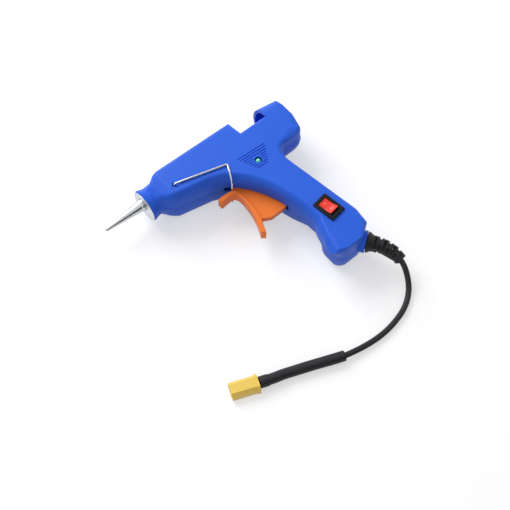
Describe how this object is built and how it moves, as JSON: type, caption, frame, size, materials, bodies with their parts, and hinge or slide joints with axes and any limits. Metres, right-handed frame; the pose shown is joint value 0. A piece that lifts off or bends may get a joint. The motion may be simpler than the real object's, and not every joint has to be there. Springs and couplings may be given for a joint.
{
  "type": "mini hot glue gun",
  "caption": "Pistol-shaped mini hot glue gun with a swinging trigger, coupled stick feeder, rocker switch, indicator lamp, fold-out wire stand and a short lead ending in a battery plug.",
  "frame": {"origin": "middle of the gun's box without its lead, at the surface that the gun lies on", "axes": "+X from the nozzle to the tail, along the glue stick; +Y to the top of the barrel; +Z from the right half of the housing to the left half, which is up as the gun lies"},
  "size_m": [0.1343, 0.1547, 0.0315],
  "materials": {
    "blue_housing": "satin moulded ABS with a fine spark texture",
    "orange_plastic": "satin moulded ABS",
    "red_plastic": "gloss",
    "yellow_plastic": "semi-gloss nylon",
    "black_plastic": "satin",
    "black_rubber": "matte",
    "cord_jacket": "satin",
    "shrink_sleeve": "satin",
    "silicone": "matte",
    "aluminium": "turned",
    "steel_wire": "bright drawn wire",
    "spring_steel": "bright",
    "brass": "bright",
    "ceramic": "matte",
    "board_laminate": "satin",
    "lamp_green": "clear tinted epoxy"
  },
  "bodies": {
    "housing": {"left_shell": "blue_housing", "right_shell": "blue_housing", "nozzle": "aluminium", "heat_washer": "silicone", "melt_chamber": "aluminium", "heater_plate": "ceramic", "heater_clip": "spring_steel", "guide_sleeve": "silicone", "trigger_pin": "spring_steel", "return_spring": "spring_steel", "indicator_lamp": "lamp_green", "lamp_board": "board_laminate", "lamp_resistor": "ceramic", "switch_frame": "black_plastic", "switch_terminal_1": "brass", "switch_terminal_2": "brass", "screw_nose": "spring_steel", "screw_breech": "spring_steel", "screw_tail": "spring_steel", "screw_grip": "spring_steel", "screw_toe": "spring_steel", "strain_relief": "black_rubber", "power_cord": "cord_jacket", "heat_shrink_sleeve": "shrink_sleeve", "connector_housing": "yellow_plastic", "contact_1": "brass", "contact_2": "brass"},
    "trigger": {"trigger": "orange_plastic"},
    "feeder": {"feeder_carriage": "black_plastic", "feeder_grip_ring": "black_rubber"},
    "rocker": {"switch_rocker": "red_plastic"},
    "stand": {"wire_stand": "steel_wire"}
  },
  "joints": [
    {"name": "trigger_pull", "type": "hinge", "parent": "housing", "child": "trigger", "pos_m": [0.0137, 0.03666, 0.0152], "axis": [0, 0, 1], "range_deg": [0, 17], "stiffness_Nm_per_rad": 0.12, "springref_deg": -17.19, "deforming": ["return_spring"]},
    {"name": "feeder_slide", "type": "slide", "parent": "housing", "child": "feeder", "axis": [-1, 0, 0], "range_m": [0, 0.003]},
    {"name": "rocker_tip", "type": "hinge", "parent": "housing", "child": "rocker", "pos_m": [0.0378, -0.01874, 0.02775], "axis": [0.9895, 0.1444, 0], "range_deg": [0, 18]},
    {"name": "stand_swing", "type": "hinge", "parent": "housing", "child": "stand", "pos_m": [-0.0198, 0.04896, 0.0152], "axis": [0, 0, -1], "range_deg": [0, 100]}
  ],
  "couplings": [
    {"joint": "feeder_slide", "follows": "trigger_pull", "m_per_rad": 0.01}
  ]
}
